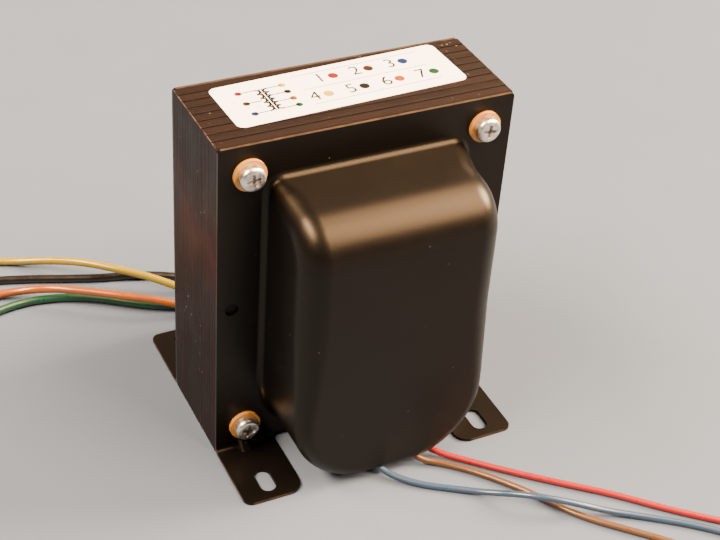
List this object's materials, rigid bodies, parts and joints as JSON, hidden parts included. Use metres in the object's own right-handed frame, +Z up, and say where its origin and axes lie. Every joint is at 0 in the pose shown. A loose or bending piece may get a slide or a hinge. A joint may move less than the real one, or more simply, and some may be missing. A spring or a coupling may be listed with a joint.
{
  "type": "laminated chassis transformer",
  "caption": "Upright power transformer with an interleaved E and I plate core, drawn end bells with slotted feet, clamping screws and loose colour-coded leads.",
  "frame": {"origin": "centre of the plane under the four feet, on the stack's middle plane", "axes": "+X along the core's width, to the right seen from the front bell; +Y through the stack from the front bell to the rear bell; +Z up from the feet"},
  "size_m": [0.259, 0.2849, 0.1148],
  "materials": {
    "lamination_steel": "varnished silicon steel, dark brown, with thin bright edges",
    "coil_tube": "pressboard",
    "winding": "enamelled copper wire",
    "layer_paper": "kraft paper",
    "coil_wrap": "varnished fish paper",
    "cloth_tape": "woven cotton tape",
    "bell_enamel": "satin black enamel",
    "plated_steel": "bright nickel plate",
    "vulcanised_fibre": "vulcanised fibre, matt tan",
    "label": "satin white label stock",
    "red_insulation": "soft gloss vinyl",
    "brown_insulation": "soft gloss vinyl",
    "blue_insulation": "soft gloss vinyl",
    "yellow_insulation": "soft gloss vinyl",
    "black_insulation": "soft gloss vinyl",
    "orange_insulation": "soft gloss vinyl",
    "green_insulation": "soft gloss vinyl",
    "tinned_wire": "tinned copper strands"
  },
  "bodies": {
    "root": {"e_laminations_1": "lamination_steel", "i_laminations_1": "lamination_steel", "e_laminations_2": "lamination_steel", "i_laminations_2": "lamination_steel", "e_laminations_3": "lamination_steel", "i_laminations_3": "lamination_steel", "e_laminations_4": "lamination_steel", "i_laminations_4": "lamination_steel", "e_laminations_5": "lamination_steel", "i_laminations_5": "lamination_steel", "e_laminations_6": "lamination_steel", "i_laminations_6": "lamination_steel", "coil_tube": "coil_tube", "inner_primary_winding": "winding", "inner_layer_paper": "layer_paper", "secondary_winding": "winding", "outer_layer_paper": "layer_paper", "outer_primary_winding": "winding", "coil_wrap": "coil_wrap", "front_lead_pad": "cloth_tape", "rear_lead_pad": "cloth_tape", "front_end_bell": "bell_enamel", "rear_end_bell": "bell_enamel", "clamp_screws": "plated_steel", "front_fibre_washers": "vulcanised_fibre", "rear_fibre_washers": "vulcanised_fibre", "lock_washers": "plated_steel", "hex_nuts": "plated_steel", "rating_label": "label", "red_lead": "red_insulation", "red_lead_tip": "tinned_wire", "brown_lead": "brown_insulation", "brown_lead_tip": "tinned_wire", "blue_lead": "blue_insulation", "blue_lead_tip": "tinned_wire", "yellow_lead": "yellow_insulation", "yellow_lead_tip": "tinned_wire", "black_lead": "black_insulation", "black_lead_tip": "tinned_wire", "orange_lead": "orange_insulation", "orange_lead_tip": "tinned_wire", "green_lead": "green_insulation", "green_lead_tip": "tinned_wire"}
  },
  "joints": []
}
